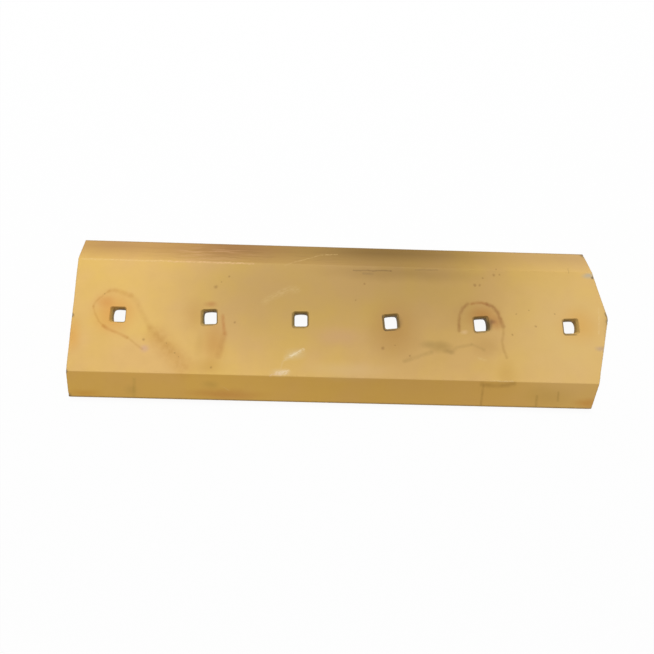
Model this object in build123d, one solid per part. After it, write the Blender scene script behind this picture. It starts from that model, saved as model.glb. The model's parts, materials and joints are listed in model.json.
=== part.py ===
from build123d import *
from itertools import cycle
from math import radians, tan
import os

# Dozer cutting edge: one length of double-bevel flat steel bar, one piece with no joints.
# Millimetres. X runs along the bar, Y across it, Z up. The bar lies on its wide front face.
# Origin: on the front face, on the line of the bolt holes, midway between the end holes.

# Rolled section
thickness = 30.0          # front wear face to rear seat face
full_width = 272.0        # front face, from cutting edge to cutting edge
seat_width = 192.0        # rear seat face, between the two bevels
edge_land = 9.0           # square strip left along each cutting edge, below the bevel
bevel_round = 2.5         # rolled radius where a bevel meets the seat face
land_round = 1.6          # rolled radius along both sides of each square strip

# Row of bolt holes
hole_count = 6
hole_pitch = 152.4        # 6 in
square_end_margin = 76.0  # square end to the centre of the first hole
hole_twists = (0, 3.5, 1.5, 6, 5, 3)    # degrees that each square was punched askew

# Pointed end, flame-cut in two planes that meet at a blunt point
point_margin = 64.3       # centre of the last hole to the point, on the seat face
point_rise = 14.5         # point above the line of holes
upper_cut_angle = 15.0    # upper cut, from square across the bar
lower_cut_angle = 11.5    # lower cut, from square across the bar
upper_cut_lean = 18.0     # upper cut runs outwards towards the front face by this angle
lower_cut_lean = 5.0      # lower cut, the same way
point_round = 2.0         # rounding of the point itself
cut_round = 0.8           # ground arris round the square end and the two cuts

# Bolt hole: a flare at the seat face, a square neck, then a cone for the countersunk bolt head
neck_side = 21.6
neck_corner = 3.2         # radius in the corners of the neck
flare_side = 27.2         # side of the flare where it opens at the seat face
flare_depth = 6.0         # seat face to where the neck starts to run straight
flare_break = 0.8         # rounded lip round the flare
head_mouth = 49.5         # diameter of the cone at the front face
head_angle = 80.0         # included angle of the cone
mouth_break = 0.6         # rounded lip where the cone opens at the front face

# Worked out from the sizes above
first_hole_x = -hole_pitch * (hole_count - 1) / 2
last_hole_x = -first_hole_x
square_end_x = first_hole_x - square_end_margin
point_x = last_hole_x + point_margin
cone_tip = 0.9 * neck_side    # small end of the cone, hidden inside the neck
cone_depth = (head_mouth - cone_tip) / 2 / tan(radians(head_angle / 2))
touching = 0.01           # two places closer than this are the same place


def cut_plane(side, angle, lean):
    """Plane of one cut of the pointed end; side is +1 above the point, -1 below it."""
    outward = Vector(1, side * tan(radians(angle)), tan(radians(lean)))
    return Plane(origin=(point_x, point_rise, thickness), z_dir=outward)


cut_planes = [
    cut_plane(+1, upper_cut_angle, upper_cut_lean),
    cut_plane(-1, lower_cut_angle, lower_cut_lean),
]
square_end = Plane(origin=(square_end_x, 0, 0), x_dir=(0, 1, 0), z_dir=(-1, 0, 0))
seat_plane = Plane(origin=(0, 0, thickness))
front_plane = Plane.XY


def lies_in(edge, plane):
    """True when the whole edge lies in the plane."""
    spots = (edge.position_at(t) for t in (0, 0.5, 1))
    return all(abs((spot - plane.origin).dot(plane.z_dir)) < touching for spot in spots)


def rolled_section():
    """Front face down: two square strips, two bevels and the seat face, with rolled corners."""
    half_full, half_seat = full_width / 2, seat_width / 2
    section = make_face(Polyline(
        (-half_full, 0), (half_full, 0), (half_full, edge_land),
        (half_seat, thickness), (-half_seat, thickness), (-half_full, edge_land),
        close=True,
    ))
    creases = [v for v in section.vertices() if v.Y > thickness - touching]
    section = fillet(creases, bevel_round)
    strips = [v for v in section.vertices() if abs(v.X) > half_full - touching]
    return fillet(strips, min(land_round, 0.4 * edge_land))


def rolled_bar():
    """The section run along X from the square end to well past the point."""
    widest_lean = max(upper_cut_lean, lower_cut_lean, 0)
    past_point = point_x + thickness * (1 + tan(radians(widest_lean)))
    start = Plane(origin=(square_end_x, 0, 0), x_dir=(0, 1, 0), z_dir=(1, 0, 0))
    return extrude(start * rolled_section(), amount=past_point - square_end_x)


def waste(plane):
    """All that lies outside one cut of the pointed end."""
    reach = 2 * (full_width + thickness)
    return plane * Box(reach, reach, reach, align=(Align.CENTER, Align.CENTER, Align.MIN))


def cut_to_length(bar):
    """Take off the waste, round the point, then grind the arris round all three cut faces."""
    for plane in cut_planes:
        bar -= waste(plane)
    ridge = [e for e in bar.edges() if all(lies_in(e, plane) for plane in cut_planes)]
    bar = fillet(ridge, point_round)
    cut_faces = [square_end] + cut_planes
    arris = [e for e in bar.edges() if any(lies_in(e, plane) for plane in cut_faces)]
    return fillet(arris, cut_round)


def square_across(side, level):
    """A square with rounded corners, of a given side, at a level above the front face."""
    corner = min(neck_corner / neck_side, 0.45) * side
    return Pos(0, 0, level) * RectangleRounded(side, side, corner)


def bolt_hole():
    """Cutter on the Z axis: a square neck right through, the head cone below and the flare above.

    The cone is wider than the square, so it runs up the four flats of the neck in arcs and
    leaves the corners of the neck standing lower, where the bolt's square catches.
    """
    neck = extrude(square_across(neck_side, 0), amount=thickness)
    cone = Cone(
        head_mouth / 2, cone_tip / 2, cone_depth,
        align=(Align.CENTER, Align.CENTER, Align.MIN),
    )
    flare = loft([
        square_across(neck_side, thickness - flare_depth), square_across(flare_side, thickness),
    ])
    return neck + cone + flare


def break_lips(bar):
    """Round the lip of every flare on the seat face and of every cone on the front face."""
    reach = max(head_mouth, flare_side)
    for plane, radius in ((seat_plane, flare_break), (front_plane, mouth_break)):
        lips = [
            e for e in bar.edges()
            if lies_in(e, plane) and e.bounding_box().size.X < reach + touching
            and abs(e.center().Y) < reach and abs(e.center().X) < last_hole_x + reach
        ]
        bar = fillet(lips, radius)
    return bar


def cutting_edge():
    """The finished piece: the bar cut to length, then the row of bolt holes."""
    bar = cut_to_length(rolled_bar())
    hole = bolt_hole()
    for place, twist in zip(GridLocations(hole_pitch, 0, hole_count, 1), cycle(hole_twists)):
        bar -= place * Rot(0, 0, twist) * hole
    return break_lips(bar)


blade = cutting_edge()
os.makedirs("parts", exist_ok=True)
export_step(blade, "parts/cutting_edge.step")
print("cutting_edge", round(blade.volume), "mm3", blade.bounding_box())
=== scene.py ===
import json
import math

import bpy
import bmesh
from mathutils import Matrix, Vector, noise


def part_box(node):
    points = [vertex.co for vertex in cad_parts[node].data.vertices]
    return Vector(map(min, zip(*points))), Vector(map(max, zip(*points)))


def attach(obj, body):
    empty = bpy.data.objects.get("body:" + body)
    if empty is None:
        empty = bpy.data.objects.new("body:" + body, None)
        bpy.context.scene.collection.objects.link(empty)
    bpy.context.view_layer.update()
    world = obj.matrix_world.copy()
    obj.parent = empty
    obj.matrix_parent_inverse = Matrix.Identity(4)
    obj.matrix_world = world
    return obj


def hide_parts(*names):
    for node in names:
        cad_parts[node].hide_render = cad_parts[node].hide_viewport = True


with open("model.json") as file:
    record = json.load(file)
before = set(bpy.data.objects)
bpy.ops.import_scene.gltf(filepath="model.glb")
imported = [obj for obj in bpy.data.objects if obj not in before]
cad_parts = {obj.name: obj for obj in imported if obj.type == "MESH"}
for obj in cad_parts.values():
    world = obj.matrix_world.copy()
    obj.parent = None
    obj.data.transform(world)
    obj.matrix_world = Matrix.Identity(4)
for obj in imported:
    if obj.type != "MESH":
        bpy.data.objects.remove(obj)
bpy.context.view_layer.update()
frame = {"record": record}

# Dozer cutting edge, lying on its wide front face. Sizes are in millimetres until a mesh,
# a lamp or the camera is made, and MM turns them to metres. X runs along the bar, Y across it.
MM = 0.001

# The bar's sizes, from the frame
CAD_LOW, CAD_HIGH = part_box("cutting_edge")
BOLT_ROW = next(m for m in frame["record"]["mounts"] if m["name"] == "bolt_row")
HOLE_COUNT = int(BOLT_ROW["dims"]["count"])
HOLE_PITCH = BOLT_ROW["dims"]["spacing_x_mm"]
SQUARE_END_X = CAD_LOW.x / MM
HALF_WIDTH = CAD_HIGH.y / MM
THICKNESS = CAD_HIGH.z / MM

# Rolled section
HALF_SEAT = 96.0
EDGE_LAND = 9.0
BEVEL_ROUND = 2.5
LAND_ROUND = 1.6

# Pointed end
LAST_HOLE_X = HOLE_PITCH * (HOLE_COUNT - 1) / 2
POINT_X = LAST_HOLE_X + 64.3
POINT_RISE = 14.5
UPPER_CUT, UPPER_LEAN = math.radians(15.0), math.radians(18.0)
LOWER_CUT, LOWER_LEAN = math.radians(11.5), math.radians(5.0)
POINT_ROUND = 2.0
CUT_ROUND = 0.8

# Bolt hole: flare at the seat face, square neck, head cone; each square is punched a little askew
NECK_SIDE = 21.6
NECK_CORNER = 3.2
FLARE_SIDE = 27.2
FLARE_DEPTH = 6.0
FLARE_LIP = 0.5
HEAD_MOUTH = 49.5
HEAD_SLOPE = math.tan(math.radians(40.0))
MOUTH_BREAK = 0.6
HOLE_TWISTS = (0, 3.5, 1.5, 6, 5, 3)          # degrees
LIP_DARKNESS = (0.0, 0.4, 0.55, 1.0, 0.5, 0.8)    # how dark each hole's lip ring is: grime and painted shade

# Arrises knocked back by handling: place across the bar, extra rounding, half length
SQUARE_END_KNOCKS = ((-3, 0.5, 5), (-95, 1.0, 6), (-133, 1.6, 6))
POINTED_END_KNOCKS = ((132, 1.5, 6), (86, 0.6, 6), (14, 1.1, 8), (-37, 0.5, 6))

# How finely the bar is divided
LAND_STEPS, BEVEL_STEPS = 4, 3               # round the edges of a square strip, round a crease
LAND_ROWS = 9                                # down a square strip
BEVEL_COLUMNS, SEAT_COLUMNS = 15, 64         # across a bevel, across the seat face
BAR_STATIONS, POINT_STATIONS = 150, 12       # along the straight bar, on to the pointed end
CONE_SIDES = 96                              # round the cone of a bolt hole

# Seeds that keep the noise of one finish apart from the next
SQUARE_ARRIS_SEED, POINTED_ARRIS_SEED = 3, 7
SQUARE_CUT_SEED, POINTED_CUT_SEED = 11, 23
MILL_WAVE_SEED, MILL_SCALE_SEED = 31, 37


def add(tree, kind, settings=None, inputs=None, out=0):
    """A node with its settings, its inputs given a value or a link. Returns one of its outputs."""
    node = tree.nodes.new(kind)
    for name, value in (settings or {}).items():
        setattr(node, name, value)
    for name, value in (inputs or {}).items():
        for part in value if isinstance(value, list) else [value]:
            if isinstance(part, bpy.types.NodeSocket):
                tree.links.new(part, node.inputs[name])
            else:
                node.inputs[name].default_value = part
    return None if out is None else node.outputs[out]


def corner_arc(before, corner, after, radius, steps):
    """Points of the rounding of one corner of an outline, from tangent to tangent."""
    to_before = (before - corner).normalized()
    to_after = (after - corner).normalized()
    half = to_before.angle(to_after) / 2
    centre = corner + (to_before + to_after).normalized() * radius / math.sin(half)
    start = corner + to_before * radius / math.tan(half) - centre
    end = corner + to_after * radius / math.tan(half) - centre
    turn = start.angle(end)
    points = []
    for k in range(steps + 1):
        from_start = start * math.sin(turn * (1 - k / steps))
        from_end = end * math.sin(turn * k / steps)
        points.append(centre + (from_start + from_end) / math.sin(turn))
    return points


def evenly(start, end, parts):
    """The points between two places that divide the way between them evenly."""
    return [start.lerp(end, k / parts) for k in range(1, parts)]


def section_paths():
    """Upper and lower outline of the rolled section, left to right, with as many points each."""
    outline = [Vector(p) for p in (
        (-HALF_WIDTH, 0), (-HALF_WIDTH, EDGE_LAND), (-HALF_SEAT, THICKNESS),
        (HALF_SEAT, THICKNESS), (HALF_WIDTH, EDGE_LAND), (HALF_WIDTH, 0),
    )]
    strip, crease = (LAND_ROUND, LAND_STEPS), (BEVEL_ROUND, BEVEL_STEPS)
    arcs = [
        corner_arc(outline[i - 1], outline[i], outline[(i + 1) % 6], *rounding)
        for i, rounding in enumerate((strip, strip, crease, crease, strip, strip))
    ]
    upper = list(arcs[1])
    for arc, columns in ((arcs[2], BEVEL_COLUMNS), (arcs[3], SEAT_COLUMNS), (arcs[4], BEVEL_COLUMNS)):
        upper += evenly(upper[-1], arc[0], columns) + arc
    arc_points = LAND_STEPS + 1
    front = [Vector((p.x, 0.0)) for p in upper[arc_points:-arc_points]]
    lower = list(reversed(arcs[0])) + front + list(reversed(arcs[5]))
    return upper, lower


def section_loop():
    """The closed outline, clockwise from the upper left, with the square strips divided too, and
    how many points its upper side has."""
    upper, lower = section_paths()
    right = evenly(upper[-1], lower[-1], LAND_ROWS)
    left = evenly(lower[0], upper[0], LAND_ROWS)
    return upper + right + list(reversed(lower)) + left, len(upper)


def outward_normals(loop):
    """The outward normal at each point of a clockwise outline."""
    normals = []
    for i in range(len(loop)):
        along = (loop[(i + 1) % len(loop)] - loop[i - 1]).normalized()
        normals.append(Vector((-along.y, along.x)))
    return normals


def point_end_x(y, z):
    """Where the pointed end cuts the bar at one place of the section; the point is rounded."""
    aside, sunk = y - POINT_RISE, THICKNESS - z
    upper = POINT_X - math.tan(UPPER_CUT) * aside + math.tan(UPPER_LEAN) * sunk
    lower = POINT_X + math.tan(LOWER_CUT) * aside + math.tan(LOWER_LEAN) * sunk
    blend = max(POINT_ROUND - abs(upper - lower), 0.0) / POINT_ROUND
    return min(upper, lower) - blend * blend * POINT_ROUND / 6


def wave(x, y, z, length, seed):
    """Smooth noise from -1 to 1 whose lumps are about one length long."""
    return noise.noise(Vector((x / length + seed, y / length, z / length)))


def drag_lines(y, z, seed):
    """Depth of a hand-torch cut: long wobble of the hand and the lines that the jet leaves."""
    lag = 0.012 * (THICKNESS - z) ** 2
    wobble = 0.35 * wave(y, 0, 0, 45, seed) + 0.2 * wave(y, z, 0, 14, seed)
    lines = 0.12 * math.sin((y + lag) * math.tau / 6.5 + 2 * wave(y, 0, 0, 30, seed))
    return max(0.5 + wobble + lines, 0.0)


def rolled_in(x, y, z):
    """How far the rolled faces fall short of true: long waves and mill scale, never outwards."""
    waves = 0.06 * wave(x, y, z, 120, MILL_WAVE_SEED)
    return 0.1 + waves + 0.04 * wave(x, y, z, 20, MILL_SCALE_SEED)


def knocked(y, z, knocks):
    """Extra rounding of a cut end's arris where the bar was dropped on it."""
    if z < THICKNESS / 4:
        return 0.0
    return sum(most * max(1 - abs(y - at) / reach, 0.0) for at, most, reach in knocks)


def build_bar():
    """The bar before its bolt holes are cut, as a closed mesh of rings and two gridded ends."""
    loop, across = section_loop()
    normals = outward_normals(loop)
    straight_end = LAST_HOLE_X + 30.0
    before_arris = 1.6          # where the last straight ring stops short of the pointed end
    bm = bmesh.new()

    def ring(place):
        return [bm.verts.new(Vector(place(i)) * MM) for i in range(len(loop))]

    def rolled(i, x):
        return loop[i] - normals[i] * rolled_in(x, loop[i].x, loop[i].y)

    def rounded(i, x, theta, seed, knocks):
        p = loop[i]
        uneven = 1.0 + 0.45 * wave(p.x, p.y, 0, 9, seed)
        radius = CUT_ROUND * uneven + knocked(p.x, p.y, knocks)
        inset = radius * (1 - math.cos(theta))
        return rolled(i, x) - normals[i] * inset, radius * (1 - math.sin(theta))

    def square_cut(i, theta):
        p, back = rounded(i, SQUARE_END_X, theta, SQUARE_ARRIS_SEED, SQUARE_END_KNOCKS)
        return SQUARE_END_X + drag_lines(p.x, p.y, SQUARE_CUT_SEED) + back, p.x, p.y

    def towards_point(i, share):
        end = point_end_x(loop[i].x, loop[i].y) - before_arris
        x = straight_end + (end - straight_end) * share
        return x, *rolled(i, x)

    def pointed_cut(i, theta):
        p, back = rounded(i, POINT_X, theta, POINTED_ARRIS_SEED, POINTED_END_KNOCKS)
        return point_end_x(p.x, p.y) - drag_lines(p.x, p.y, POINTED_CUT_SEED) - back, p.x, p.y

    arris = [math.radians(a) for a in (90, 60, 30, 0)]
    rings = [ring(lambda i: square_cut(i, theta)) for theta in arris]
    for k in range(1, BAR_STATIONS):
        x = SQUARE_END_X + (straight_end - SQUARE_END_X) * k / BAR_STATIONS
        rings.append(ring(lambda i: (x, *rolled(i, x))))
    for k in range(POINT_STATIONS):
        rings.append(ring(lambda i: towards_point(i, k / POINT_STATIONS)))
    rings += [ring(lambda i: pointed_cut(i, theta)) for theta in reversed(arris)]
    for here, there in zip(rings, rings[1:]):
        for i in range(len(loop)):
            j = (i + 1) % len(loop)
            bm.faces.new((here[i], here[j], there[j], there[i]))
    gridded_end(bm, rings[0], across, lambda y, z: (
        SQUARE_END_X + drag_lines(y, z, SQUARE_CUT_SEED)
    ))
    gridded_end(bm, rings[-1], across, lambda y, z: (
        point_end_x(y, z) - drag_lines(y, z, POINTED_CUT_SEED)
    ))
    bmesh.ops.recalc_face_normals(bm, faces=bm.faces)
    mesh = bpy.data.meshes.new("cutting_edge_blade")
    bm.to_mesh(mesh)
    bm.free()
    return mesh


def gridded_end(bm, rim, across, end_x):
    """Closes one end with a grid that shares the rim's vertices."""
    upper = rim[:across]
    right = rim[across:across + LAND_ROWS - 1]
    lower = list(reversed(rim[across + LAND_ROWS - 1:2 * across + LAND_ROWS - 1]))
    left = list(reversed(rim[2 * across + LAND_ROWS - 1:]))
    columns = []
    for i in range(across):
        if i == 0:
            inner = left
        elif i == across - 1:
            inner = right
        else:
            inner = []
            for k in range(1, LAND_ROWS):
                spot = upper[i].co.lerp(lower[i].co, k / LAND_ROWS)
                spot.x = end_x(spot.y / MM, spot.z / MM) * MM
                inner.append(bm.verts.new(spot))
        columns.append([upper[i]] + inner + [lower[i]])
    for here, there in zip(columns, columns[1:]):
        for k in range(LAND_ROWS):
            bm.faces.new((here[k], here[k + 1], there[k + 1], there[k]))


LENGTH = RATIO = "NodeSocketFloat"
COUNT, FINISH = "NodeSocketInt", "NodeSocketMaterial"


def geometry_tree(name, sockets):
    """A geometry tree with named inputs, given as (name, kind, value), and one geometry in and out."""
    tree = bpy.data.node_groups.new(name, "GeometryNodeTree")
    for way in ("INPUT", "OUTPUT"):
        tree.interface.new_socket("Geometry", in_out=way, socket_type="NodeSocketGeometry")
    for label, kind, value in sockets:
        tree.interface.new_socket(label, in_out="INPUT", socket_type=kind).default_value = value
    return tree


def bolt_hole_tree(finish):
    """Cuts the row of plow-bolt holes: a square neck that flares at the seat face, and a head cone."""
    tree = geometry_tree("bolt_hole_row", [
        ("Count", COUNT, HOLE_COUNT),
        ("Pitch", LENGTH, HOLE_PITCH * MM),
        ("Thickness", LENGTH, THICKNESS * MM),
        ("Neck side", LENGTH, NECK_SIDE * MM),
        ("Neck corner", LENGTH, NECK_CORNER * MM),
        ("Flare side", LENGTH, (FLARE_SIDE + 2 * FLARE_LIP) * MM),
        ("Flare depth", LENGTH, FLARE_DEPTH * MM),
        ("Head mouth", LENGTH, HEAD_MOUTH * MM),
        ("Head slope", RATIO, HEAD_SLOPE),
        ("Mouth break", LENGTH, MOUTH_BREAK * MM),
        ("Finish", FINISH, finish),
    ])
    given = tree.nodes.new("NodeGroupInput").outputs
    spare = 1.0 * MM          # how far a cutter stands out of the bar

    # Places of the holes
    run = add(tree, "ShaderNodeMath", {"operation": "MULTIPLY"}, {
        0: given["Pitch"], 1: given["Count"],
    })
    over = add(tree, "ShaderNodeMath", {"operation": "SUBTRACT"}, {0: run, 1: given["Pitch"]})
    first = add(tree, "ShaderNodeMath", {"operation": "MULTIPLY"}, {0: over, 1: -0.5})
    start = add(tree, "ShaderNodeCombineXYZ", {}, {"X": first})
    step = add(tree, "ShaderNodeCombineXYZ", {}, {"X": given["Pitch"]})
    places = add(tree, "GeometryNodeMeshLine", {"mode": "OFFSET"}, {
        "Count": given["Count"], "Start Location": start, "Offset": step,
    })

    # Neck: a rounded square run up from below the bar, widened through the flare, and out
    square = add(tree, "GeometryNodeCurvePrimitiveQuadrilateral", {"mode": "RECTANGLE"}, {
        "Width": given["Neck side"], "Height": given["Neck side"],
    })
    square = add(tree, "GeometryNodeFilletCurve", {"mode": "POLY"}, {
        "Curve": square, "Radius": given["Neck corner"], "Count": 6,
    })
    square = add(tree, "GeometryNodeSubdivideCurve", {}, {"Curve": square, "Cuts": 1})
    flare_steps = 10
    level = add(tree, "GeometryNodeInputIndex")
    share = add(tree, "ShaderNodeMapRange", {}, {
        "Value": level, "From Min": 1.0, "From Max": 1.0 + flare_steps,
    })
    foot = add(tree, "ShaderNodeMath", {"operation": "SUBTRACT"}, {
        0: given["Thickness"], 1: given["Flare depth"],
    })
    height = add(tree, "ShaderNodeMath", {"operation": "MULTIPLY_ADD"}, {
        0: share, 1: given["Flare depth"], 2: foot,
    })
    at_foot = add(tree, "FunctionNodeCompare", {"operation": "LESS_THAN"}, {0: level, 1: 0.5})
    height = add(tree, "GeometryNodeSwitch", {"input_type": "FLOAT"}, {
        0: at_foot, 1: height, 2: -spare,
    })
    at_top = add(tree, "FunctionNodeCompare", {"operation": "GREATER_THAN"}, {
        0: level, 1: flare_steps + 1.5,
    })
    top = add(tree, "ShaderNodeMath", {"operation": "ADD"}, {0: given["Thickness"], 1: spare})
    height = add(tree, "GeometryNodeSwitch", {"input_type": "FLOAT"}, {
        0: at_top, 1: height, 2: top,
    })
    levels = add(tree, "GeometryNodeMeshLine", {"mode": "OFFSET"}, {
        "Count": flare_steps + 3, "Offset": (0, 0, MM),
    })
    levels = add(tree, "GeometryNodeSetPosition", {}, {
        "Geometry": levels, "Position": add(tree, "ShaderNodeCombineXYZ", {}, {"Z": height}),
    })
    opening = add(tree, "ShaderNodeFloatCurve", {}, {"Value": share})
    drawn = opening.node.mapping.curves[0].points
    for rise, width in ((0.1, 0.04), (0.9, 0.8)):    # eased in from the neck, rolled over at the lip
        drawn.new(rise, width)
    opening.node.mapping.update()
    full = add(tree, "ShaderNodeMath", {"operation": "DIVIDE"}, {
        0: given["Flare side"], 1: given["Neck side"],
    })
    extra = add(tree, "ShaderNodeMath", {"operation": "SUBTRACT"}, {0: full, 1: 1.0})
    widen = add(tree, "ShaderNodeMath", {"operation": "MULTIPLY_ADD"}, {
        0: opening, 1: extra, 2: 1.0,
    })
    neck = add(tree, "GeometryNodeMeshToCurve", {}, {"Mesh": levels})
    neck = add(tree, "GeometryNodeCurveToMesh", {}, {
        "Curve": neck, "Profile Curve": square, "Scale": widen, "Fill Caps": True,
    })

    # Head: a cone whose tip is hidden inside the neck, and a short flatter one that breaks its edge
    mouth = add(tree, "ShaderNodeMath", {"operation": "MULTIPLY"}, {0: given["Head mouth"], 1: 0.5})
    tip = add(tree, "ShaderNodeMath", {"operation": "MULTIPLY"}, {0: given["Neck side"], 1: 0.45})
    below = add(tree, "ShaderNodeMath", {"operation": "MULTIPLY_ADD"}, {
        0: given["Head slope"], 1: spare, 2: mouth,
    })
    run_in = add(tree, "ShaderNodeMath", {"operation": "SUBTRACT"}, {0: below, 1: tip})
    deep = add(tree, "ShaderNodeMath", {"operation": "DIVIDE"}, {
        0: run_in, 1: given["Head slope"],
    })
    cone = add(tree, "GeometryNodeMeshCone", {}, {
        "Vertices": CONE_SIDES, "Side Segments": 10,
        "Radius Top": tip, "Radius Bottom": below, "Depth": deep,
    })
    cone = add(tree, "GeometryNodeTransform", {}, {
        "Geometry": cone, "Translation": (0, 0, -spare),
    })
    break_slope = 2.2         # how far the broken edge runs outwards for each step of depth
    rim_low = add(tree, "ShaderNodeMath", {"operation": "ADD"}, {0: mouth, 1: break_slope * spare})
    rim_low = add(tree, "ShaderNodeMath", {"operation": "ADD"}, {
        0: given["Mouth break"], 1: rim_low,
    })
    rim_deep = add(tree, "ShaderNodeMath", {"operation": "MULTIPLY_ADD"}, {
        0: given["Mouth break"], 1: 2.0, 2: spare,
    })
    rim_in = add(tree, "ShaderNodeMath", {"operation": "MULTIPLY"}, {0: rim_deep, 1: break_slope})
    rim_high = add(tree, "ShaderNodeMath", {"operation": "SUBTRACT"}, {0: rim_low, 1: rim_in})
    rim = add(tree, "GeometryNodeMeshCone", {}, {
        "Vertices": CONE_SIDES, "Radius Top": rim_high, "Radius Bottom": rim_low, "Depth": rim_deep,
    })
    rim = add(tree, "GeometryNodeTransform", {}, {"Geometry": rim, "Translation": (0, 0, -spare)})

    # Each hole turned by its own twist
    askew = add(tree, "GeometryNodeIndexSwitch", {"data_type": "FLOAT"}, {"Index": level})
    for _ in HOLE_TWISTS[2:]:
        askew.node.index_switch_items.new()
    for i, twist in enumerate(HOLE_TWISTS):
        askew.node.inputs[1 + i].default_value = math.radians(twist)
    turned = add(tree, "ShaderNodeCombineXYZ", {}, {"Z": askew})
    cutters = []
    for cutter in (neck, cone, rim):
        row = add(tree, "GeometryNodeInstanceOnPoints", {}, {
            "Points": places, "Instance": cutter, "Rotation": turned,
        })
        cutters.append(add(tree, "GeometryNodeRealizeInstances", {}, {"Geometry": row}))
    cut = add(tree, "GeometryNodeMeshBoolean", {"operation": "DIFFERENCE", "solver": "MANIFOLD"}, {
        "Mesh 1": given["Geometry"], "Mesh 2": cutters,
    })
    cut = add(tree, "GeometryNodeSetMaterial", {}, {"Geometry": cut, "Material": given["Finish"]})
    finished = tree.nodes.new("NodeGroupOutput")
    tree.links.new(cut, finished.inputs["Geometry"])
    return tree


def make_plain(piece, modifier):
    """Makes the piece plain mesh with its modifier run on it, and takes the modifier off."""
    graph = bpy.context.evaluated_depsgraph_get()
    mesh = bpy.data.meshes.new_from_object(piece.evaluated_get(graph), depsgraph=graph)
    piece.modifiers.remove(modifier)
    piece.data = mesh


def run_tree(piece, tree):
    """Runs a geometry tree on the piece."""
    modifier = piece.modifiers.new(tree.name, "NODES")
    modifier.node_group = tree
    make_plain(piece, modifier)


def settle(piece):
    """Closes the slivers that the cutting left and shades the faces smooth up to the sharp edges."""
    sliver = 0.004 * MM
    sharp = math.radians(34)
    bm = bmesh.new()
    bm.from_mesh(piece.data)
    bmesh.ops.remove_doubles(bm, verts=bm.verts, dist=sliver)
    bmesh.ops.dissolve_degenerate(bm, edges=bm.edges, dist=sliver)
    bm.to_mesh(piece.data)
    bm.free()
    piece.data.shade_smooth()
    piece.data.set_sharp_from_angle(angle=sharp)
    modifier = piece.modifiers.new("even_shading", "WEIGHTED_NORMAL")
    modifier.keep_sharp = True
    make_plain(piece, modifier)


def linear(colour):
    """An sRGB hex colour as linear red, green and blue, with full alpha."""
    shares = [int(colour[i:i + 2], 16) / 255 for i in (1, 3, 5)]
    return *(c / 12.92 if c <= 0.04045 else ((c + 0.055) / 1.055) ** 2.4 for c in shares), 1.0


def blot(tree, place, at, half):
    """An oval mark: 1 at its middle, fading smoothly to 0 at its rim."""
    local = add(tree, "ShaderNodeVectorMath", {"operation": "MULTIPLY_ADD"}, {
        0: place, 1: (1 / half[0], 1 / half[1], 0), 2: (-at[0] / half[0], -at[1] / half[1], 0),
    })
    away = add(tree, "ShaderNodeVectorMath", {"operation": "LENGTH"}, {0: local}, "Value")
    return add(tree, "ShaderNodeMapRange", {"interpolation_type": "SMOOTHSTEP"}, {
        "Value": away, "To Min": 1.0, "To Max": 0.0,
    })


def way_off(tree, place, points):
    """How far, in mm, a place is from a line drawn through points."""
    nearest = None
    for here, there in zip(points, points[1:]):
        step = Vector((*there, 0)) - Vector((*here, 0))
        local = add(tree, "ShaderNodeVectorMath", {"operation": "SUBTRACT"}, {
            0: place, 1: (*here, 0),
        })
        share = add(tree, "ShaderNodeVectorMath", {"operation": "DOT_PRODUCT"}, {
            0: local, 1: step / step.length_squared,
        }, "Value")
        share = add(tree, "ShaderNodeClamp", {}, {"Value": share})
        foot = add(tree, "ShaderNodeVectorMath", {"operation": "SCALE"}, {0: step, "Scale": share})
        far = add(tree, "ShaderNodeVectorMath", {"operation": "DISTANCE"}, {
            0: local, 1: foot,
        }, "Value")
        if nearest is not None:
            far = add(tree, "ShaderNodeMath", {"operation": "MINIMUM"}, {0: nearest, 1: far})
        nearest = far
    return nearest


def streak(tree, place, points, half_width):
    """A mark along a line: 1 on the line, fading smoothly to 0 at half its width."""
    far = way_off(tree, place, points)
    return add(tree, "ShaderNodeMapRange", {"interpolation_type": "SMOOTHSTEP"}, {
        "Value": far, "From Min": 0.0, "From Max": half_width, "To Min": 1.0, "To Max": 0.0,
    })


def laid_over(tree, paint, mark, colour, strength):
    """The paint with one mark on it, at most so strong."""
    share = add(tree, "ShaderNodeMath", {"operation": "MULTIPLY"}, {0: mark, 1: strength})
    return add(tree, "ShaderNodeMix", {"data_type": "RGBA"}, {
        0: share, 6: paint, 7: linear(colour),
    }, 2)


# Grime and painted shade on the upper bevel, reddish on the left and olive in the middle: middle, half
# size
GRIME_AND_SHADE = (
    ((-400, 118), (280, 130), "#9C6E3C", 0.7),
    ((-190, 118), (190, 130), "#8A5628", 0.84),
    ((70, 118), (300, 160), "#5C3F00", 0.92),
    ((400, 118), (220, 100), "#B08C5C", 0.65),
)

# Rub marks along the upper bevel: middle, half size, and the levels of noise that they fade in between
RUBS = (
    ((-225, 112), (120, 30), 0.52, 0.64, "#D9A97A", 0.55),
    ((-120, 116), (330, 34), 0.47, 0.36, "#8C6534", 0.4),
)

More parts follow.
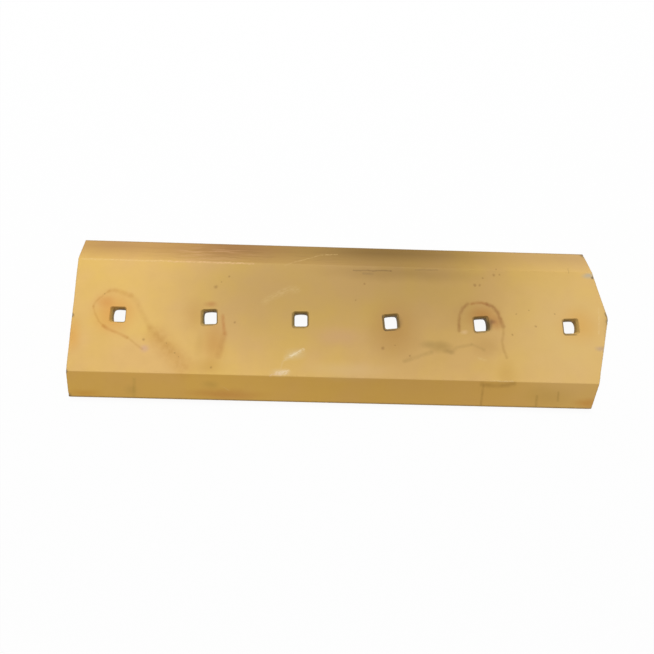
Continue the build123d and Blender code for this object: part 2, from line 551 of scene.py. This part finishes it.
# Marks on the seat side, placed in mm along and across the bar, each with a colour and a strength.
# Soft washes: middle, half size
WASHES = (
    # brown wash, thickest on the upper middle of the face: partly shed grime, partly painted shade
    ((90, 95), (440, 330), "#856424", 0.55),
    ((95, 86), (190, 22), "#6A4600", 0.32),
    ((-160, 50), (230, 170), "#9A7838", 0.36),
    ((150, 60), (190, 90), "#8F7138", 0.1),
    # rusty water that stood round the first hole and ran off down to the right
    ((-388, 4), (50, 50), "#DC9840", 0.65),
    ((-404, 22), (22, 16), "#D18B3C", 0.45),
    ((-452, -36), (20, 40), "#DE9838", 0.45),
    ((-331, -55), (12, 9), "#CFA48C", 0.6),
    # the same round the second hole
    ((-228, 21), (16, 7), "#AE6A30", 0.5),
    ((-252, 4), (30, 40), "#BD8B44", 0.36),
    ((-219, -42), (28, 54), "#C08438", 0.5),
    ((-243, -48), (12, 36), "#B98A40", 0.25),
    ((-226, -84), (40, 22), "#B5802E", 0.35),
    # pale rub marks under the scuffs
    ((-84, -59), (24, 13), "#D9C292", 0.4),
    ((-106, -90), (24, 10), "#DFC598", 0.45),
    # a brown cloud round the fourth, and dusty patches before it
    ((80, -14), (60, 70), "#AC7D34", 0.6),
    ((-12, -26), (64, 24), "#C79A70", 0.5),
    ((5, -84), (100, 22), "#D8B684", 0.35),
    # paler coat towards the pointed end
    ((385, -20), (170, 190), "#DCB97E", 0.5),
    # yellower coat round the last hole
    ((394, 2), (50, 44), "#D69C38", 0.45),
    # oily smudge between the fourth and the fifth
    ((160, -42), (30, 15), "#866724", 0.4),
    ((138, -36), (24, 10), "#8D7135", 0.35),
    ((172, -50), (14, 7), "#7C5E20", 0.32),
    # rust under the arch of the fifth, darkest at the hole's right edge
    ((232, 14), (38, 30), "#AD6A18", 0.52),
    ((214, 12), (54, 40), "#8A5A10", 0.18),
    ((254, 2), (16, 19), "#A56024", 0.4),
    ((248, 4), (8, 6), "#683A20", 0.5),
    ((243, -1), (7, 16), "#4E3620", 0.6),
    ((90, -1), (8, 17), "#6E5430", 0.4),
    ((234, -38), (34, 26), "#AE8440", 0.32),
    ((199, -14), (9, 6), "#DDB884", 0.6),
    ((268, -84), (24, 34), "#C0924A", 0.35),
    # blue-grey and purplish heat stains that the torch left at the pointed end
    ((416, 90), (18, 7), "#A8ACA4", 0.6),
    ((430, -36), (16, 8), "#A98F8A", 0.46),
    ((442, 6), (10, 46), "#AC8C54", 0.3),
    # orange and olive patches on the lower bevel
    ((408, -127), (34, 11), "#C98428", 0.5),
    ((-200, -126), (90, 12), "#BF7B36", 0.5),
    ((-430, -130), (40, 9), "#CB9030", 0.5),
    ((-354, -124), (16, 14), "#87702A", 0.16),
    ((340, -118), (60, 24), "#A8842A", 0.22),
    ((-222, -112), (20, 9), "#8C6A30", 0.2),
)

# Stain lines: points, half width
LINES = (
    # tide line round the first hole
    (((-423, 13), (-420, 21), (-407, 34), (-399, 40)), 3.2, "#B87C28", 0.28),
    (((-399, 40), (-390, 42), (-379, 39), (-362, 33)), 7.0, "#C08430", 0.34),
    (((-362, 33), (-353, 25), (-347, 14), (-340, 2), (-326, -21)), 8.0, "#B87E2E", 0.2),
    (((-314, -36), (-266, -84)), 28, "#C08838", 0.46),
    (((-326, -21), (-315, -32), (-299, -46), (-282, -62)), 11, "#B07C30", 0.2),
    (((-423, 13), (-419, 2), (-412, -11), (-400, -22)), 3.2, "#B87A26", 0.3),
    (((-404, -19), (-392, -26), (-378, -31), (-362, -38)), 4.6, "#B86E1E", 0.38),
    (((-362, -38), (-351, -46), (-342, -53), (-336, -57)), 3.6, "#B88230", 0.34),
    # runs from the second hole
    (((-207, 3), (-205, -10), (-202, -27)), 5.0, "#B26A28", 0.52),
    (((-202, -27), (-205, -41), (-210, -64)), 9.0, "#B57A34", 0.38),
    # arch over the fifth hole, and its tail down to the bevel
    (((190, -12), (190, -2), (192, 15), (197, 27), (206, 34)), 5.0, "#804600", 0.5),
    (((212, 35), (220, 37), (229, 37), (238, 35)), 4.2, "#965400", 0.55),
    (((238, 35), (248, 31), (256, 22), (261, 9), (265, -3)), 5.6, "#7E4200", 0.52),
    (((265, -3), (265, -16), (262, -29), (264, -42), (269, -56)), 4.4, "#90621A", 0.28),
    # oily tails of the smudge
    (((98, -66), (120, -58), (143, -50)), 6.0, "#84692F", 0.24),
    (((176, -50), (186, -41), (197, -38), (210, -35)), 5.0, "#876A34", 0.2),
    (((210, -35), (232, -44)), 4.4, "#876A2E", 0.19),
    # dirt caught along the upper crease
    (((11, 88), (76, 89)), 2.0, "#6E5322", 0.6),
    (((28, 83), (44, 83)), 3.4, "#85693A", 0.4),
    (((117, 92), (156, 93)), 1.9, "#7C5F2C", 0.4),
    (((383, 103), (382, 94)), 1.7, "#9A7B42", 0.4),
    # dirt under the lower crease, and drips down the lower bevel
    (((226, -101), (250, -103), (264, -102), (280, -99)), 6.0, "#80560C", 0.33),
    (((229, -103), (229, -134)), 3.6, "#7E5610", 0.28),
    (((321, -118), (322, -134)), 4.2, "#7F5A12", 0.25),
    (((356, -111), (357, -124)), 3.2, "#7F5A12", 0.26),
    (((-346, -107), (-349, -134)), 5.0, "#846A1C", 0.2),
    # scale bared at the point
    (((440, 24), (445, 14), (444, 2)), 2.4, "#5E4E3A", 0.7),
)

# Pale scuffs where the paint was rubbed, and painted highlights along the creases: points, half width
SCUFFS_AND_CREASE_HIGHLIGHTS = (
    (((-99, -67), (-86, -60)), 7.0, "#DEC594", 0.6),
    (((-90, -62), (-71, -51)), 4.6, "#F0DDB4", 0.75),
    (((-107, -85), (-104, -72), (-97, -66)), 2.6, "#DEBE86", 0.45),
    (((-112, -92), (-96, -88)), 6.4, "#EFD8B4", 0.8),
    (((-123, -95), (-108, -92)), 3.6, "#E6C298", 0.75),
    (((222, -58), (233, -61)), 3.8, "#DEBF80", 0.4),
    (((-138, 29), (-127, 37), (-114, 43)), 9.0, "#D8BA7A", 0.3),
    (((-110, 46), (-98, 52), (-84, 51)), 10.0, "#D4B678", 0.32),
    (((-106, 93), (-92, 100), (-79, 104)), 2.2, "#D0AC70", 0.3),
    (((-79, 104), (-60, 112), (-45, 117), (-17, 120)), 1.6, "#DCB878", 0.5),
    (((430, 33), (429, 10), (427, -12)), 1.9, "#E8C88C", 0.5),
    # painted highlight along the lower crease
    (((241, -95.5), (278, -95.5)), 1.8, "#E6C78F", 0.6),
    (((-205, -113), (-192, -120)), 1.5, "#DDB168", 0.7),
    # painted highlights along the upper crease, partly paint rubbed thin
    (((-450, 95), (-304, 95)), 1.9, "#E9C586", 0.7),
    (((-304, 95), (-160, 95)), 2.4, "#EABF8C", 0.7),
)

# Specks of dirt: place, radius
SPECKS = (
    (-200, 71, 3.4), (-212, 61, 2.0), (-221, 52, 5.2), (-186, -8, 3.0), (-221, -84, 3.2),
    (-406, 35, 2.0), (-335, -41, 3.8), (-297, -46, 1.8), (-282, -62, 2.4), (-275, -68, 1.6),
    (30, 65, 3.0), (62, -45, 4.6), (82, -40, 1.8), (107, -57, 2.8), (219, 68, 4.4),
    (227, 68, 3.4), (233, 81, 2.8), (257, 97, 2.4), (252, 86, 3.8), (262, 87, 2.4),
    (280, -17, 3.2), (320, -1, 2.8), (288, 19, 2.2), (310, 26, 2.0), (354, 21, 2.4),
    (16, 36, 2.0), (75, 89, 1.8),
)

# Nicks on the arrises of the cut ends, down to dark steel: place, radius
NICKS = (
    (-457, -3, 6.0), (-457, -96, 5.5), (-457, -136, 9.0),
    (420, 136, 11.0), (423, 87, 4.0), (446, 10, 8.0),
)


def flat_places(tree, spot):
    """Places for marks on the seat side: flat, shaken a little for lines and more for washes, so
    that their outlines wander as dried water's do."""
    flat = add(tree, "ShaderNodeVectorMath", {"operation": "MULTIPLY"}, {0: spot, 1: (1, 1, 0)})
    moved = [flat]
    for length, reach in ((3.5, 1.5), (11, 2.4), (34, 8.0)):
        shake = add(tree, "ShaderNodeTexNoise", {}, {
            "Vector": flat, "Scale": 1 / length, "Detail": 1.0,
        }, "Color")
        shake = add(tree, "ShaderNodeVectorMath", {"operation": "SUBTRACT"}, {
            0: shake, 1: (0.5, 0.5, 0.5),
        })
        moved.append(add(tree, "ShaderNodeVectorMath", {"operation": "MULTIPLY_ADD"}, {
            0: shake, 1: (reach, reach, 0), 2: moved[-1],
        }))
    shaken, ragged = moved[2:]
    return flat, shaken, ragged


def plain_coat(tree, spot):
    """The coat where nothing has marked it: golden and pinker tan drift into each other, mottled by
    the mill scale beneath. Returns the coat, the mottling, and the noise that it comes from."""
    drift_length, mottle_length = 75, 26
    drift = add(tree, "ShaderNodeTexNoise", {}, {
        "Vector": spot, "Scale": 1 / drift_length, "Detail": 2.0,
    }, "Fac")
    drift = add(tree, "ShaderNodeMapRange", {}, {
        "Value": drift, "From Min": 0.35, "From Max": 0.65,
    })
    cloud = add(tree, "ShaderNodeTexNoise", {}, {
        "Vector": spot, "Scale": 1 / mottle_length, "Detail": 4.0,
    }, "Fac")
    mottle = add(tree, "ShaderNodeMapRange", {}, {
        "Value": cloud, "From Min": 0.4, "From Max": 0.75,
    })
    coat = add(tree, "ShaderNodeMix", {"data_type": "RGBA"}, {
        0: drift, 6: linear("#E4BB62"), 7: linear("#E2B76E"),
    }, 2)
    return laid_over(tree, coat, mottle, "#C79A55", 0.16), mottle, cloud


def worn_bevels(tree, paint, y, ragged):
    """The lower bevel a cleaner, deeper ochre; the upper one brown with grime and painted shade, and
    rubbed along its length. The rub marks of real grit are finer, and are drawn 2.4 mm wide so that
    they show."""
    rub_length, rub_width = 60, 2.4
    below = add(tree, "ShaderNodeMapRange", {}, {
        "Value": y, "From Min": -HALF_SEAT + 0.6, "From Max": -HALF_SEAT - 1.2,
    })
    above = add(tree, "ShaderNodeMapRange", {}, {
        "Value": y, "From Min": HALF_SEAT - 0.8, "From Max": HALF_SEAT + 1.2,
    })
    paint = laid_over(tree, paint, below, "#D49F3C", 0.6)
    outer = add(tree, "ShaderNodeMapRange", {}, {
        "Value": y, "From Min": HALF_SEAT, "From Max": HALF_WIDTH - 12, "To Min": 0.4,
    })
    on_bevel = add(tree, "ShaderNodeMath", {"operation": "MULTIPLY"}, {0: above, 1: outer})
    grain = add(tree, "ShaderNodeMapping", {}, {
        "Vector": ragged, "Scale": (1 / rub_length, 1 / rub_width, 1),
    })
    grain = add(tree, "ShaderNodeTexNoise", {}, {
        "Vector": grain, "Scale": 1.0, "Detail": 3.0,
    }, "Fac")
    for at, half, colour, strength in GRIME_AND_SHADE:
        film = blot(tree, ragged, at, half)
        film = add(tree, "ShaderNodeMath", {"operation": "MULTIPLY"}, {0: film, 1: on_bevel})
        paint = laid_over(tree, paint, film, colour, strength)
    for at, half, low, high, colour, strength in RUBS:
        rub = add(tree, "ShaderNodeMapRange", {}, {
            "Value": grain, "From Min": low, "From Max": high,
        })
        for share in (blot(tree, ragged, at, half), above):
            rub = add(tree, "ShaderNodeMath", {"operation": "MULTIPLY"}, {0: rub, 1: share})
        paint = laid_over(tree, paint, rub, colour, strength)
    return paint


def marked(tree, paint, shaken, ragged, patchy):
    """Washes, stain lines, specks, nicks, scuffs, and painted highlights along the creases. The hair
    lines in real scuffs are a few tenths of a millimetre wide, and are drawn 1.7 mm wide so that they
    show."""
    hair_length, hair_width, hair_turn = 6, 1.7, math.radians(24)
    for at, half, colour, strength in WASHES:
        paint = laid_over(tree, paint, blot(tree, ragged, at, half), colour, strength)
    for points, half_width, colour, strength in LINES:
        line = streak(tree, shaken, points, half_width)
        line = add(tree, "ShaderNodeMath", {"operation": "MULTIPLY"}, {0: line, 1: patchy})
        paint = laid_over(tree, paint, line, colour, strength)
    for spots, colour, strength in ((SPECKS, "#6E3C00", 0.41), (NICKS, "#54483A", 0.9)):
        dots = 0.0
        for x, y, radius in spots:
            dots = add(tree, "ShaderNodeMath", {"operation": "MAXIMUM"}, {
                0: dots, 1: blot(tree, shaken, (x, y), (radius, radius)),
            })
        paint = laid_over(tree, paint, dots, colour, strength)
    hairs = add(tree, "ShaderNodeMapping", {"vector_type": "TEXTURE"}, {
        "Vector": shaken, "Rotation": (0, 0, hair_turn), "Scale": (hair_length, hair_width, 1),
    })
    hairs = add(tree, "ShaderNodeTexNoise", {}, {
        "Vector": hairs, "Scale": 1.0, "Detail": 2.0,
    }, "Fac")
    hairs = add(tree, "ShaderNodeMapRange", {}, {
        "Value": hairs, "From Min": 0.38, "From Max": 0.6, "To Min": 0.1,
    })
    for points, half_width, colour, strength in SCUFFS_AND_CREASE_HIGHLIGHTS:
        pale_line = streak(tree, shaken, points, half_width)
        pale_line = add(tree, "ShaderNodeMath", {"operation": "MULTIPLY"}, {0: pale_line, 1: hairs})
        paint = laid_over(tree, paint, pale_line, colour, strength)
    return paint


def scaled_ends(tree, paint, spot):
    """Brown scale of the torch showing through the coat on the cut ends, along the drag lines. Real
    drag lines are 1 to 2 mm apart, and these are drawn about 3 mm apart so that they show."""
    line_gap, line_length = 3, 22
    scale = add(tree, "ShaderNodeMapping", {"vector_type": "TEXTURE"}, {
        "Vector": spot, "Scale": (line_gap, line_gap, line_length),
    })
    scale = add(tree, "ShaderNodeTexNoise", {}, {
        "Vector": scale, "Scale": 1.0, "Detail": 3.0,
    }, "Fac")
    scale = add(tree, "ShaderNodeMapRange", {}, {
        "Value": scale, "From Min": 0.45, "From Max": 0.6, "To Min": 0.3,
    })
    upper_tan, lower_tan = math.tan(UPPER_CUT), math.tan(LOWER_CUT)
    upper_lean, lower_lean = math.tan(UPPER_LEAN), math.tan(LOWER_LEAN)
    for facing, reach in (
        ((-1, 0, 0), -SQUARE_END_X),
        ((1, upper_tan, upper_lean), POINT_X + upper_tan * POINT_RISE + upper_lean * THICKNESS),
        ((1, -lower_tan, lower_lean), POINT_X - lower_tan * POINT_RISE + lower_lean * THICKNESS),
    ):
        on_cut = add(tree, "ShaderNodeVectorMath", {"operation": "DOT_PRODUCT"}, {
            0: spot, 1: facing,
        }, "Value")
        on_cut = add(tree, "ShaderNodeMapRange", {}, {
            "Value": on_cut, "From Min": reach - 2.2, "From Max": reach - 1.4,
        })
        on_cut = add(tree, "ShaderNodeMath", {"operation": "MULTIPLY"}, {0: on_cut, 1: scale})
        paint = laid_over(tree, paint, on_cut, "#6E5A45", 0.28)
    return paint


def dark_lip_rings(tree, along_row, from_centre):
    """A dark ring on each hole's lip, partly grime and partly painted shade, turned with that hole's
    own square, as strong as listed for that hole.
    """
    corner = NECK_CORNER * FLARE_SIDE / NECK_SIDE
    flat_half = FLARE_SIDE / 2 + FLARE_LIP - corner
    each = add(tree, "ShaderNodeValToRGB", {}, {0: along_row})
    stops = each.node.color_ramp
    stops.interpolation = "CONSTANT"
    for i in range(1, HOLE_COUNT - 1):
        stops.elements.new(i / HOLE_COUNT)
    for i, (twist, wear) in enumerate(zip(HOLE_TWISTS, LIP_DARKNESS)):
        stops.elements[i].position = i / HOLE_COUNT
        stops.elements[i].color = (math.radians(twist), wear, 0, 1)
    each = add(tree, "ShaderNodeSeparateColor", {}, {0: each}).node.outputs
    lip = add(tree, "ShaderNodeVectorRotate", {"rotation_type": "Z_AXIS", "invert": True}, {
        "Vector": from_centre, "Angle": each["Red"],
    })
    lip = add(tree, "ShaderNodeVectorMath", {"operation": "ABSOLUTE"}, {0: lip})
    lip = add(tree, "ShaderNodeVectorMath", {"operation": "SUBTRACT"}, {
        0: lip, 1: (flat_half, flat_half, 0),
    })
    lip = add(tree, "ShaderNodeVectorMath", {"operation": "MAXIMUM"}, {0: lip, 1: (0, 0, 0)})
    lip = add(tree, "ShaderNodeVectorMath", {"operation": "LENGTH"}, {0: lip}, "Value")
    lip = add(tree, "ShaderNodeMapRange", {}, {
        "Value": lip, "From Min": corner + 0.4, "From Max": corner + 1.8, "To Min": 1.0, "To Max": 0.0,
    })
    return add(tree, "ShaderNodeMath", {"operation": "MULTIPLY"}, {0: lip, 1: each["Green"]})


def spray_and_light_reach(tree, x, y, outward, broken):
    """How far down a hole's wall the paint reaches: deepest on the outer walls of the end holes where
    the spray went, a few mm on the upper walls as painted light that lightens their shade, and ragged."""
    from_middle = add(tree, "ShaderNodeMath", {"operation": "ABSOLUTE"}, {0: x})
    sprayed = add(tree, "ShaderNodeMapRange", {}, {
        "Value": from_middle, "From Min": 220.0, "From Max": 385.0, "To Min": 0.0, "To Max": 17.0,
    })
    side = add(tree, "ShaderNodeMath", {"operation": "SIGN"}, {0: x})
    outer_wall = add(tree, "ShaderNodeMath", {"operation": "MULTIPLY"}, {0: side, 1: outward})
    outer_wall = add(tree, "ShaderNodeMapRange", {}, {
        "Value": outer_wall, "From Min": 0.0, "From Max": 9.0,
    })
    sprayed = add(tree, "ShaderNodeMath", {"operation": "MULTIPLY"}, {0: sprayed, 1: outer_wall})
    # painted light: the upper walls lie in shade, and carrying the paint a few mm down them lightens
    # them
    painted_light_upper_wall = add(tree, "ShaderNodeMapRange", {}, {
        "Value": y, "From Min": 3.0, "From Max": 9.0, "To Max": 3.0,
    })
    sprayed = add(tree, "ShaderNodeMath", {"operation": "ADD"}, {0: sprayed, 1: painted_light_upper_wall})
    return add(tree, "ShaderNodeMath", {"operation": "MULTIPLY_ADD"}, {
        0: broken, 1: 2.0, 2: sprayed,
    })


def bared_holes(tree, paint, xyz, flat, broken, mottle, seat_side):
    """Down the bolt holes: bare rusty steel past the reach of the spray from either face, painted
    light on the shaded upper walls, and dark rings on the lips, partly grime and partly painted shade."""
    row = HOLE_PITCH * HOLE_COUNT
    run = add(tree, "ShaderNodeMath", {"operation": "ADD"}, {0: xyz["X"], 1: row / 2})
    cell = add(tree, "ShaderNodeMath", {"operation": "FLOORED_MODULO"}, {0: run, 1: HOLE_PITCH})
    cell = add(tree, "ShaderNodeMath", {"operation": "SUBTRACT"}, {0: cell, 1: HOLE_PITCH / 2})
    from_centre = add(tree, "ShaderNodeCombineXYZ", {}, {"X": cell, "Y": xyz["Y"]})
    radial = add(tree, "ShaderNodeVectorMath", {"operation": "LENGTH"}, {0: from_centre}, "Value")
    inside = add(tree, "ShaderNodeMapRange", {}, {
        "Value": radial, "From Min": HEAD_MOUTH / 2 + 3, "From Max": HEAD_MOUTH / 2 + 1,
    })
    sunk = add(tree, "ShaderNodeMath", {"operation": "SUBTRACT"}, {0: THICKNESS, 1: xyz["Z"]})
    sprayed = spray_and_light_reach(tree, xyz["X"], xyz["Y"], cell, broken)
    past_spray = add(tree, "ShaderNodeMath", {"operation": "SUBTRACT"}, {0: sunk, 1: sprayed})
    from_seat = add(tree, "ShaderNodeMapRange", {"interpolation_type": "SMOOTHSTEP"}, {
        "Value": past_spray, "From Min": -2.2, "From Max": 1.2,
    })
    from_front = add(tree, "ShaderNodeMapRange", {"interpolation_type": "SMOOTHSTEP"}, {
        "Value": xyz["Z"], "From Min": 1.0, "From Max": 7.0,
    })

    # The dark lip rings, grime and painted shade, on the seat face only and on the lower and left
    # sides
    along_row = add(tree, "ShaderNodeMath", {"operation": "DIVIDE"}, {0: run, 1: row})
    lip = dark_lip_rings(tree, along_row, from_centre)
    lower_left_sides = add(tree, "ShaderNodeVectorMath", {"operation": "DOT_PRODUCT"}, {
        0: from_centre, 1: (-1.1, -1, 0),
    }, "Value")
    lower_left_sides = add(tree, "ShaderNodeMapRange", {}, {
        "Value": lower_left_sides, "From Min": 2.0, "From Max": 8.0,
    })
    below_lip = add(tree, "ShaderNodeMapRange", {}, {
        "Value": sunk, "From Min": 0.3, "From Max": 1.1,
    })
    above_lip = add(tree, "ShaderNodeMath", {"operation": "SUBTRACT"}, {0: 1.0, 1: below_lip})
    for share in (lower_left_sides, above_lip, seat_side):
        lip = add(tree, "ShaderNodeMath", {"operation": "MULTIPLY"}, {0: lip, 1: share})
    paint = laid_over(tree, paint, lip, "#3E2E1A", 0.85)

    # The walls: thin dusty paint first, bare steel past it, soot in the fifth hole, and rust
    bare = add(tree, "ShaderNodeMath", {"operation": "MINIMUM"}, {0: from_seat, 1: from_front})
    for share in (inside, below_lip):
        bare = add(tree, "ShaderNodeMath", {"operation": "MULTIPLY"}, {0: bare, 1: share})
    dusty = below_lip
    for share in (inside, from_front):
        dusty = add(tree, "ShaderNodeMath", {"operation": "MULTIPLY"}, {0: dusty, 1: share})
    paint = laid_over(tree, paint, dusty, "#867C50", 0.26)
    paint = laid_over(tree, paint, bare, "#988250", 0.92)
    soot = add(tree, "ShaderNodeMath", {"operation": "MULTIPLY"}, {
        0: below_lip, 1: blot(tree, flat, (240, -1), (7, 18)),
    })
    paint = laid_over(tree, paint, soot, "#38281A", 0.58)
    rust = add(tree, "ShaderNodeMath", {"operation": "MULTIPLY"}, {0: bare, 1: mottle})
    return laid_over(tree, paint, rust, "#7A5233", 0.4)


def ochre_paint():
    """Ochre enamel sprayed thin over hot-rolled steel: a satin tan skin with rusty water marks round
    the bolt holes, brown grime and painted shade on the upper bevel, and bare grey-brown steel down in
    the holes."""
    material = bpy.data.materials.new("ochre_enamel_on_rolled_steel")
    material.use_nodes = True
    tree = material.node_tree
    tree.nodes.clear()

    # Places in mm, so that every pattern's size below is a real one
    spot = add(tree, "ShaderNodeTexCoord", out="Object")
    spot = add(tree, "ShaderNodeVectorMath", {"operation": "SCALE"}, {0: spot, "Scale": 1 / MM})
    xyz = add(tree, "ShaderNodeSeparateXYZ", {}, {0: spot}).node.outputs
    flat, shaken, ragged = flat_places(tree, spot)

    # The coat as sprayed, and the same with everything that has marked it since
    plain, mottle, cloud = plain_coat(tree, spot)
    worn = worn_bevels(tree, plain, xyz["Y"], ragged)
    patch_length = 9
    broken = add(tree, "ShaderNodeTexNoise", {}, {
        "Vector": flat, "Scale": 1 / patch_length, "Detail": 3.0,
    }, "Fac")
    patchy = add(tree, "ShaderNodeMapRange", {}, {
        "Value": broken, "From Min": 0.3, "From Max": 0.6, "To Min": 0.55,
    })
    worn = marked(tree, worn, shaken, ragged, patchy)

    # Marks lie on the seat face and the bevels, and fade out a few mm down the ends and the holes
    across = add(tree, "ShaderNodeMath", {"operation": "ABSOLUTE"}, {0: xyz["Y"]})
    surface = add(tree, "ShaderNodeMapRange", {}, {
        "Value": across, "From Min": HALF_SEAT, "From Max": HALF_WIDTH,
        "To Min": THICKNESS, "To Max": EDGE_LAND,
    })
    deep = add(tree, "ShaderNodeMath", {"operation": "SUBTRACT"}, {0: surface, 1: xyz["Z"]})
    seat_side = add(tree, "ShaderNodeMapRange", {}, {
        "Value": deep, "From Min": 1.5, "From Max": 5.0, "To Min": 1.0, "To Max": 0.0,
    })
    paint = add(tree, "ShaderNodeMix", {"data_type": "RGBA"}, {
        0: seat_side, 6: plain, 7: worn,
    }, 2)

    # Long cutting edges: a patchy grey-brown line
    edge = add(tree, "ShaderNodeMapRange", {}, {
        "Value": across, "From Min": HALF_WIDTH - 2.6, "From Max": HALF_WIDTH - 0.6,
    })
    edge = add(tree, "ShaderNodeMath", {"operation": "MULTIPLY"}, {0: edge, 1: patchy})
    paint = laid_over(tree, paint, edge, "#86693A", 0.7)
    paint = scaled_ends(tree, paint, spot)
    paint = bared_holes(tree, paint, xyz, flat, broken, mottle, seat_side)

    # Satin sheen, broken by the mill scale under the paint. Real scale is pitted at about 1 mm, and
    # is drawn at 5 mm so that it shows
    pit_length, pit_depth = 5, 0.1 * MM
    speckle = add(tree, "ShaderNodeTexNoise", {}, {
        "Vector": spot, "Scale": 1 / pit_length, "Detail": 3.0,
    }, "Fac")
    gloss = add(tree, "ShaderNodeMapRange", {}, {"Value": cloud, "To Min": 0.68, "To Max": 0.52})
    lift = add(tree, "ShaderNodeBump", {}, {
        "Height": speckle, "Strength": 0.5, "Distance": pit_depth,
    })
    shader = add(tree, "ShaderNodeBsdfPrincipled", {}, {
        "Base Color": paint, "Roughness": gloss, "Normal": lift, "IOR": 1.42,
    })
    add(tree, "ShaderNodeOutputMaterial", {}, {"Surface": shader}, None)
    return material


def seen_by_eye(tree):
    """1 for a ray that shows a background to the eye: straight, mirrored or through glass."""
    rays = add(tree, "ShaderNodeLightPath", out="Is Camera Ray").node.outputs
    seen = rays["Is Camera Ray"]
    for ray in ("Is Glossy Ray", "Is Transmission Ray"):
        seen = add(tree, "ShaderNodeMath", {"operation": "MAXIMUM"}, {0: seen, 1: rays[ray]})
    return seen


def studio_floor():
    """White backdrop paper: white to the eye, with a little of the bar's shadow left on it."""
    kept_shadow = 0.055
    half_side = 6.0              # metres
    gap = 0.2 * MM               # keeps the paper just clear of the face that lies on it
    material = bpy.data.materials.new("white_backdrop_paper")
    material.use_nodes = True
    tree = material.node_tree
    tree.nodes.clear()
    share = add(tree, "ShaderNodeMath", {"operation": "MULTIPLY"}, {
        0: seen_by_eye(tree), 1: 1 - kept_shadow,
    })
    paper = add(tree, "ShaderNodeBsdfDiffuse", {}, {"Color": (0.9, 0.9, 0.9, 1)})
    glow = add(tree, "ShaderNodeEmission", {}, {"Color": (1, 1, 1, 1), "Strength": 1.0})
    shown = add(tree, "ShaderNodeMixShader", {}, {0: share, 1: paper, 2: glow})
    add(tree, "ShaderNodeOutputMaterial", {}, {"Surface": shown}, None)
    mesh = bpy.data.meshes.new("floor")
    bm = bmesh.new()
    bmesh.ops.create_grid(
        bm, x_segments=1, y_segments=1, size=half_side, matrix=Matrix.Translation((0, 0, -gap)),
    )
    bm.to_mesh(mesh)
    bm.free()
    mesh.materials.append(material)
    floor = bpy.data.objects.new("floor", mesh)
    bpy.context.scene.collection.objects.link(floor)
    return floor


def studio_world():
    """White all round to the eye, and a soft fill to the bar."""
    fill = 0.36
    world = bpy.data.worlds.new("studio")
    bpy.context.scene.world = world
    world.use_nodes = True
    tree = world.node_tree
    tree.nodes.clear()
    level = add(tree, "ShaderNodeMapRange", {}, {
        "Value": seen_by_eye(tree), "To Min": fill, "To Max": 1.0,
    })
    white = add(tree, "ShaderNodeBackground", {}, {"Color": (1, 1, 1, 1), "Strength": level})
    add(tree, "ShaderNodeOutputWorld", {}, {"Surface": white}, None)


def soft_lamp(name, azimuth, elevation, away, size, power):
    """A square soft lamp that looks at the bar from a direction, in degrees, metres and watts."""
    data = bpy.data.lights.new(name, "AREA")
    data.shape = "SQUARE"
    data.size = size
    data.energy = power
    lamp = bpy.data.objects.new(name, data)
    turn, rise = math.radians(azimuth), math.radians(elevation)
    back = Vector((
        math.cos(turn) * math.cos(rise), math.sin(turn) * math.cos(rise), math.sin(rise),
    ))
    lamp.location = back * away
    lamp.rotation_euler = back.to_track_quat("Z", "Y").to_euler()
    bpy.context.scene.collection.objects.link(lamp)


def camera_over_bar():
    """The camera: where it looks, how far off it stands, and its turn about its own axis."""
    look_at = Vector((-32.0, -11.8, THICKNESS))
    away = 944.7
    azimuth, elevation, roll = (math.radians(a) for a in (-5.362, 78.805, 6.76))
    back = Vector((
        math.sin(azimuth) * math.cos(elevation),
        -math.cos(azimuth) * math.cos(elevation),
        math.sin(elevation),
    ))
    level = Vector((math.cos(azimuth), math.sin(azimuth), 0))
    right = level * math.cos(roll) + back.cross(level) * math.sin(roll)
    data = bpy.data.cameras.new("camera")
    data.lens = 31.085
    data.clip_start = 0.05
    camera = bpy.data.objects.new("camera", data)
    place = Matrix((right, back.cross(right), back)).transposed().to_4x4()
    place.translation = (look_at + back * away) * MM
    camera.matrix_world = place
    bpy.context.scene.collection.objects.link(camera)
    bpy.context.scene.camera = camera


blade = bpy.data.objects.new("blade", build_bar())
bpy.context.scene.collection.objects.link(blade)
finish = ochre_paint()
run_tree(blade, bolt_hole_tree(finish))
settle(blade)
blade.data.materials.clear()        # the cut leaves an empty slot before the finish
blade.data.materials.append(finish)
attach(blade, "root")
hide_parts("cutting_edge")

studio_floor()
studio_world()
soft_lamp("key", azimuth=97, elevation=57, away=4.0, size=2.4, power=125)
camera_over_bar()
bpy.context.scene.view_settings.view_transform = "Standard"
